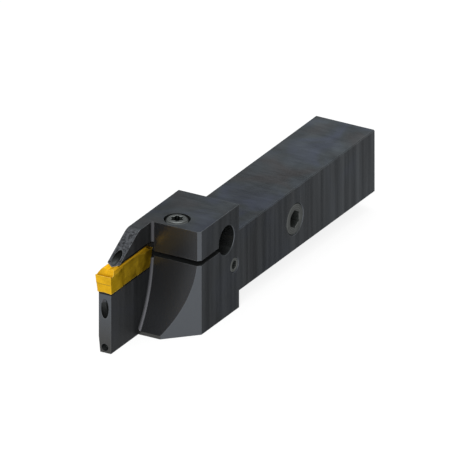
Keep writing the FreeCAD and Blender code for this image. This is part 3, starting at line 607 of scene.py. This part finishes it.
def growMesh(tree, name, values):
    # runs a Geometry Nodes tree once and keeps the plain mesh
    holder = bpy.data.objects.new(name + "Source", bpy.data.meshes.new(name + "Source"))
    bpy.context.scene.collection.objects.link(holder)
    modifier = holder.modifiers.new("grow", "NODES")
    modifier.node_group = tree
    for item in tree.interface.items_tree:
        if item.item_type == "SOCKET" and item.in_out == "INPUT" and item.name in values:
            modifier[item.identifier] = values[item.name]
    bpy.context.view_layer.update()
    grown = bpy.data.meshes.new_from_object(holder.evaluated_get(bpy.context.evaluated_depsgraph_get()))
    grown.name = name
    bpy.data.objects.remove(holder)
    return grown


threadTree = helixTree()
ridgeForms = {
    "outer": {"sink": 0.03, "Root Share": 0.86, "Crest Share": 0.16, "Steps per Turn": 48},   # sink in mm
    "inner": {"sink": -0.06, "Root Share": 0.9, "Crest Share": 0.14, "Steps per Turn": 56},
}
weldReach = 0.0001  # mm


def threadRidge(name, kind, root, depth, values):
    # the ridge starts a little inside the metal that it grows from, so that no gap shows at its root
    form = dict(ridgeForms[kind])
    sink = form.pop("sink")
    ridge = growMesh(threadTree, name, {
        "Root Radius": (root - sink) * mm, "Depth": (depth + sink) * mm, **form, **values})
    work = bmesh.new()
    work.from_mesh(ridge)
    bmesh.ops.remove_doubles(work, verts=work.verts, dist=weldReach * mm)
    bmesh.ops.recalc_face_normals(work, faces=work.faces)
    work.to_mesh(ridge)
    work.free()
    return ridge


def latheMesh(name, rows, steps, place):
    # rows of (radius or radius-by-angle, height) from one pole to the other, closed at both
    work = bmesh.new()
    rings = []
    for radius, height in rows:
        ring = []
        for step in range(steps):
            angle = 2 * math.pi * step / steps
            reach = radius(angle) if callable(radius) else radius
            spot = Vector((reach * math.cos(angle), reach * math.sin(angle), height))
            ring.append(work.verts.new(place @ spot))
        rings.append(ring)
    for first, second in zip(rings, rings[1:]):
        for step in range(steps):
            after = (step + 1) % steps
            work.faces.new((first[step], first[after], second[after], second[step]))
    for ring, height in ((rings[0], rows[0][1]), (rings[-1], rows[-1][1])):
        pole = work.verts.new(place @ Vector((0, 0, height)))
        for step in range(steps):
            work.faces.new((pole, ring[step], ring[(step + 1) % steps]))
    mesh = bpy.data.meshes.new(name)
    bmesh.ops.recalc_face_normals(work, faces=work.faces)
    work.to_mesh(mesh)
    work.free()
    return mesh


def joinMeshes(name, meshes, material):
    work = bmesh.new()
    for mesh in meshes:
        work.from_mesh(mesh)
    joined = bpy.data.meshes.new(name)
    work.to_mesh(joined)
    work.free()
    joined.materials.append(material)
    for face in joined.polygons:
        face.material_index = 0
    piece = bpy.data.objects.new(name, joined)
    bpy.context.scene.collection.objects.link(piece)
    return piece


sharpAngle = 25  # degrees


def smoothRounds(piece):
    # smooth shading with the sharp edges kept, without changing a vertex
    piece.data.shade_smooth()
    work = bmesh.new()
    work.from_mesh(piece.data)
    for edge in work.edges:
        edge.smooth = len(edge.link_faces) == 2 and edge.calc_face_angle(0.0) < math.radians(sharpAngle)
    work.to_mesh(piece.data)
    work.free()


def inMetres(rows):
    # a radius may be a function of the angle, which already gives metres
    return [(radius if callable(radius) else radius * mm, height * mm) for radius, height in rows]


# Six-lobe clamp screw, M5 with a cylindrical head. Sizes in mm.
screwSizes = {
    "centre": (57.8, -0.7),
    "seat": 24.45,
    "headRadius": 3.6,
    "headHeight": 3.75,
    "coneRun": 0.7,
    "topRound": (0.12, 0.06),    # in and down, where the flat top turns into the cone
    "coneEdge": ((0.05, 0.02), (0.0, -0.08)),  # in and up from the cone's foot
    "footBreak": 0.12,
    "socketMean": 1.7,
    "socketWave": 0.27,
    "socketDepth": 1.8,
    "socketRim": 0.1,            # the lead-in at the mouth
    "socketRimRound": 0.03,
    "socketFloor": ((0.35, -0.15), (0.9, 0.0), (1.0, 0.15)),  # share of the width, and height
    "flatFrom": 2.3,             # the plain ring round the socket
    "coreRadius": 2.05,
    "threadRadius": 2.46,
    "pitch": 0.8,
    "shaftLength": 16.0,
    "tipRun": 0.6,
    "neck": 1.0,
    "neckRound": (0.1, 0.3),     # out and down, under the head
    "threadStart": 0.3,          # above the tip's cone
    "steps": 96,
}


def makeClampScrew(material):
    size = screwSizes
    top = size["seat"] + size["headHeight"]
    tip = size["seat"] - size["shaftLength"]
    coneTop = size["headRadius"] - size["coneRun"]
    rim, rimRound = size["socketRim"], size["socketRimRound"]

    def lobed(scale, grow=0.0):
        def reach(angle):
            # the lobes stand 30 degrees off the shank's line
            return ((size["socketMean"] - size["socketWave"] * math.cos(6 * angle)) * scale + grow) * mm
        return reach

    rows = [(lobed(share), top - size["socketDepth"] + rise) for share, rise in size["socketFloor"]]
    rows += [
        (lobed(1.0), top - rim),
        (lobed(1.0, rimRound), top - rimRound),
        (lobed(1.0, rim), top),
        (size["flatFrom"], top),
        (coneTop - size["topRound"][0], top),
        (coneTop, top - size["topRound"][1]),
    ]
    rows += [(size["headRadius"] - inset, top - size["coneRun"] + rise) for inset, rise in size["coneEdge"]]
    rows += [
        (size["headRadius"], size["seat"] + size["footBreak"]),
        (size["headRadius"] - size["footBreak"], size["seat"]),
        (size["threadRadius"], size["seat"]),
        (size["coreRadius"] + size["neckRound"][0], size["seat"] - size["neckRound"][1]),
        (size["coreRadius"], size["seat"] - size["neck"]),
        (size["coreRadius"], tip + size["tipRun"]),
        (size["coreRadius"] - size["tipRun"], tip),
    ]
    across, aside = size["centre"]
    place = Matrix.Translation((across * mm, aside * mm, 0))
    body = latheMesh("screwTurned", inMetres(rows), size["steps"], place)
    rise = size["threadRadius"] - size["coreRadius"]
    ridge = threadRidge("screwThread", "outer", size["coreRadius"], rise, {
        "Pitch": size["pitch"] * mm,
        "Turns": (size["shaftLength"] - size["neck"] - 2 * size["tipRun"]) / size["pitch"],
        "Place": (across * mm, aside * mm, (tip + size["tipRun"] + size["threadStart"]) * mm),
        "Turn": (0.0, 0.0, 0.0), "Material": material})
    piece = joinMeshes("clampScrewThreaded", [body, ridge], material)
    smoothRounds(piece)
    return piece


# Hex-socket plugs, set flush in the side. Sizes in mm.
plugSizes = {
    "shankPlugSocketed": {
        "node": "shank_coolant_plug", "centre": (7.1, 10.0, 10.0), "radius": 4.835, "length": 6.5,
        "hex": 5.0, "depth": 4.0, "edge": 0.3, "pitch": 0.907, "thread": 0.5},
    "headPlugSocketed": {
        "node": "head_channel_plug", "centre": (42.7, 10.0, 9.5), "radius": 2.22, "length": 4.5,
        "hex": 2.5, "depth": 2.2, "edge": 0.2, "pitch": 0.7, "thread": 0.35},
}
plugForm = {
    "drillShare": 0.3,           # shares of the hexagon's width: the drill point's end
    "drillDepth": 0.16,
    "floorShare": 0.98,
    "roundShare": 0.54,          # the mouth's countersink, where it cuts the corners
    "mouthShare": 0.605,         # and at the face
    "socketShare": 0.6,
    "floorRise": 0.1,            # mm
    "flatTop": 0.22,             # mm below the face, the top of the socket's flats
    "roundTop": 0.12,
    "edgeRows": ((0.05, 0.0), (-0.02, -0.03)),  # in and up from the outer edge's chamfer
    "edgeFoot": ((0.02, 0.02), (0.0, -0.03)),   # and from the chamfer's foot
    "collar": 0.7,               # mm, plain length before the thread
    "threadTrim": 1.1,           # pitches that the thread stops short
    "threadStart": 0.45,         # and pitches from its inner end
    "steps": 72,
}


def makePlug(name, size, material):
    form = plugForm
    width = size["hex"]
    core = size["radius"] - size["thread"]

    def hexed(across):
        def reach(angle):
            fold = (angle + math.pi / 6) % (math.pi / 3) - math.pi / 6
            return across / 2 / math.cos(fold) * mm
        return reach

    rows = [
        (hexed(width * form["drillShare"]), -size["depth"] - width * form["drillDepth"]),
        (hexed(width * form["floorShare"]), -size["depth"]),
        (hexed(width), -size["depth"] + form["floorRise"]),
        (hexed(width), -form["flatTop"]),
        (lambda angle: max(hexed(width)(angle), width * form["roundShare"] * mm), -form["roundTop"]),
        (width * form["mouthShare"], 0.0),
    ]
    rows += [(size["radius"] - size["edge"] - inset, rise) for inset, rise in form["edgeRows"]]
    rows += [(size["radius"] - inset, -size["edge"] + rise) for inset, rise in form["edgeFoot"]]
    rows += [
        (size["radius"], -form["collar"]),
        (core, -form["collar"] - size["thread"] * 0.5),
        (core, -size["length"] + size["edge"]),
        (core - size["edge"], -size["length"]),
    ]
    centre = Vector(size["centre"]) * mm
    inward = math.radians(-90)
    place = Matrix.Translation(centre) @ Matrix.Rotation(inward, 4, "X")
    body = latheMesh(name + "Turned", inMetres(rows), form["steps"], place)
    room = size["length"] - form["collar"] - size["edge"] - form["threadTrim"] * size["pitch"]
    start = size["length"] - size["edge"] - form["threadStart"] * size["pitch"]
    ridge = threadRidge(name + "Thread", "outer", core, size["thread"], {
        "Pitch": size["pitch"] * mm,
        "Turns": room / size["pitch"],
        "Place": centre - Vector((0, start, 0)) * mm,
        "Turn": (inward, 0.0, 0.0), "Material": material})
    piece = joinMeshes(name, [body, ridge], material)
    smoothRounds(piece)
    return piece


# Thread of the rear coolant inlet, cut into the bore. Sizes in mm.
inletSizes = {"radius": 4.865, "depth": 0.55, "pitch": 0.907, "height": 10.0, "start": -39.3, "end": -28.4}


def makeInletThread(material):
    size = inletSizes
    ridge = threadRidge("inletThread", "inner", size["radius"], -size["depth"], {
        "Pitch": size["pitch"] * mm,
        "Turns": (size["end"] - size["start"] - size["pitch"]) / size["pitch"],
        "Place": ((size["start"] + size["pitch"] / 2) * mm, 0.0, size["height"] * mm),
        "Turn": (0.0, math.radians(90), 0.0), "Material": material})
    piece = joinMeshes("inletThread", [ridge], material)
    smoothRounds(piece)
    return piece


holderSteel = blackOxideSteel()
carbide = coatedCarbide()
screwCentre = [c * mm for c in (*screwSizes["centre"], screwSizes["seat"] + screwSizes["headHeight"])]
screwSteel = turnedSteel("oiled turned screw steel", turnedFinish["screw"], screwCentre, "Z")
for nodeName, finish in (("holder_body", holderSteel), ("cutting_insert", carbide)):
    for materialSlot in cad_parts[nodeName].material_slots:
        materialSlot.material = finish
print("materials on the CAD nodes")

screw = makeClampScrew(screwSteel)
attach(screw, "screw")
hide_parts("clamp_screw")
print("clamp screw")

for plugName, plugSize in plugSizes.items():
    plugCentre = [c * mm for c in plugSize["centre"]]
    plugLook = dict(turnedFinish["plug"], socketRadius=plugSize["hex"] * plugForm["socketShare"])
    plugSteel = turnedSteel("phosphated plug steel " + plugName, plugLook, plugCentre, "Y")
    plug = makePlug(plugName, plugSize, plugSteel)
    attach(plug, "holder")
    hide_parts(plugSize["node"])
for nodeName in ("riser_channel_plug", "blade_channel_plug"):
    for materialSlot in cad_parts[nodeName].material_slots:
        materialSlot.material = plugSteel
print("plugs")

thread = makeInletThread(holderSteel)
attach(thread, "holder")
print("inlet thread")

# A pale paper floor, three soft lamps and a level white world.
stageSizes = {
    "floorHeight": -5.2,      # mm, under the head's flat foot
    "floorHalf": 1500.0,
    "floorColour": "#f4f4f4",
    "floorGlow": 0.85,        # share of the plain white seen by the camera and in the steel
    "worldLight": 0.62,
}


def plainRays(tree):
    # 1 for the rays that see the plain white: straight, mirrored or let through
    ray = addNode(tree, "ShaderNodeLightPath").outputs
    seen = addNode(tree, "ShaderNodeMath", {0: ray["Is Camera Ray"], 1: ray["Is Glossy Ray"]},
                   operation="MAXIMUM")
    return addNode(tree, "ShaderNodeMath", {0: seen, 1: ray["Is Transmission Ray"]}, operation="MAXIMUM")


def makeFloor():
    size = stageSizes
    half = size["floorHalf"] * mm
    mesh = bpy.data.meshes.new("floor")
    corners = [(-half, -half, 0), (half, -half, 0), (half, half, 0), (-half, half, 0)]
    mesh.from_pydata(corners, [], [(0, 1, 2, 3)])
    mesh.transform(Matrix.Translation((0, 0, size["floorHeight"] * mm)))
    floor = bpy.data.objects.new("floor", mesh)
    bpy.context.scene.collection.objects.link(floor)
    material = bpy.data.materials.new("matt white paper")
    material.use_nodes = True
    tree = material.node_tree
    tree.nodes.clear()
    share = addNode(tree, "ShaderNodeMath", {0: plainRays(tree), 1: size["floorGlow"]}, operation="MULTIPLY")
    paper = addNode(tree, "ShaderNodeBsdfDiffuse", {"Color": linearColour(size["floorColour"])})
    white = addNode(tree, "ShaderNodeEmission", {"Color": (1, 1, 1, 1), "Strength": 1.0})
    mixed = addNode(tree, "ShaderNodeMixShader", {0: share, 1: paper, 2: white})
    addNode(tree, "ShaderNodeOutputMaterial", {"Surface": mixed})
    mesh.materials.append(material)
    return floor


def lightWorld():
    world = bpy.data.worlds.new("studio")
    bpy.context.scene.world = world
    world.use_nodes = True
    tree = world.node_tree
    tree.nodes.clear()
    strength = addNode(tree, "ShaderNodeMapRange", {0: plainRays(tree), 3: stageSizes["worldLight"], 4: 1.0})
    sky = addNode(tree, "ShaderNodeBackground", {"Color": (1, 1, 1, 1), "Strength": strength})
    addNode(tree, "ShaderNodeOutputWorld", {"Surface": sky})


lampAim = (20, 0, 10)  # mm
lampSizes = {
    "frontSoftbox": {"from": (420, 150, 230), "size": 220, "power": 2.2},
    "topSoftbox": {"from": (-60, -60, 420), "size": 320, "power": 1.4},
    "rearSoftbox": {"from": (-205, -100, 120), "size": 130, "power": 0.02},
}


def addLamp(name, size):
    data = bpy.data.lights.new(name, "AREA")
    data.size = size["size"] * mm
    data.energy = size["power"]
    lamp = bpy.data.objects.new(name, data)
    lamp.location = Vector(size["from"]) * mm
    lamp.rotation_euler = (lamp.location - Vector(lampAim) * mm).to_track_quat("Z", "Y").to_euler()
    bpy.context.scene.collection.objects.link(lamp)


cameraSizes = {
    "azimuth": 119.86,        # degrees, from the plain side round by the cutting end
    "elevation": 24.87,
    "width": 137.6,           # mm across the picture
    "aim": (25.0, 0.0, 9.78),  # mm
    "distance": 600.0,        # mm
}


def addCamera():
    size = cameraSizes
    turn = math.radians(size["azimuth"])
    tilt = math.radians(size["elevation"])
    back = Vector((math.sin(turn) * math.cos(tilt), -math.cos(turn) * math.cos(tilt), math.sin(tilt)))
    data = bpy.data.cameras.new("camera")
    data.type = "ORTHO"
    data.ortho_scale = size["width"] * mm
    camera = bpy.data.objects.new("camera", data)
    camera.location = Vector(size["aim"]) * mm + back * size["distance"] * mm
    camera.rotation_euler = back.to_track_quat("Z", "Y").to_euler()
    bpy.context.scene.collection.objects.link(camera)
    bpy.context.scene.camera = camera


makeFloor()
lightWorld()
for lampName, lampSize in lampSizes.items():
    addLamp(lampName, lampSize)
addCamera()
bpy.context.scene.view_settings.view_transform = "Standard"
print("floor, light and camera")

bpy.context.view_layer.update()
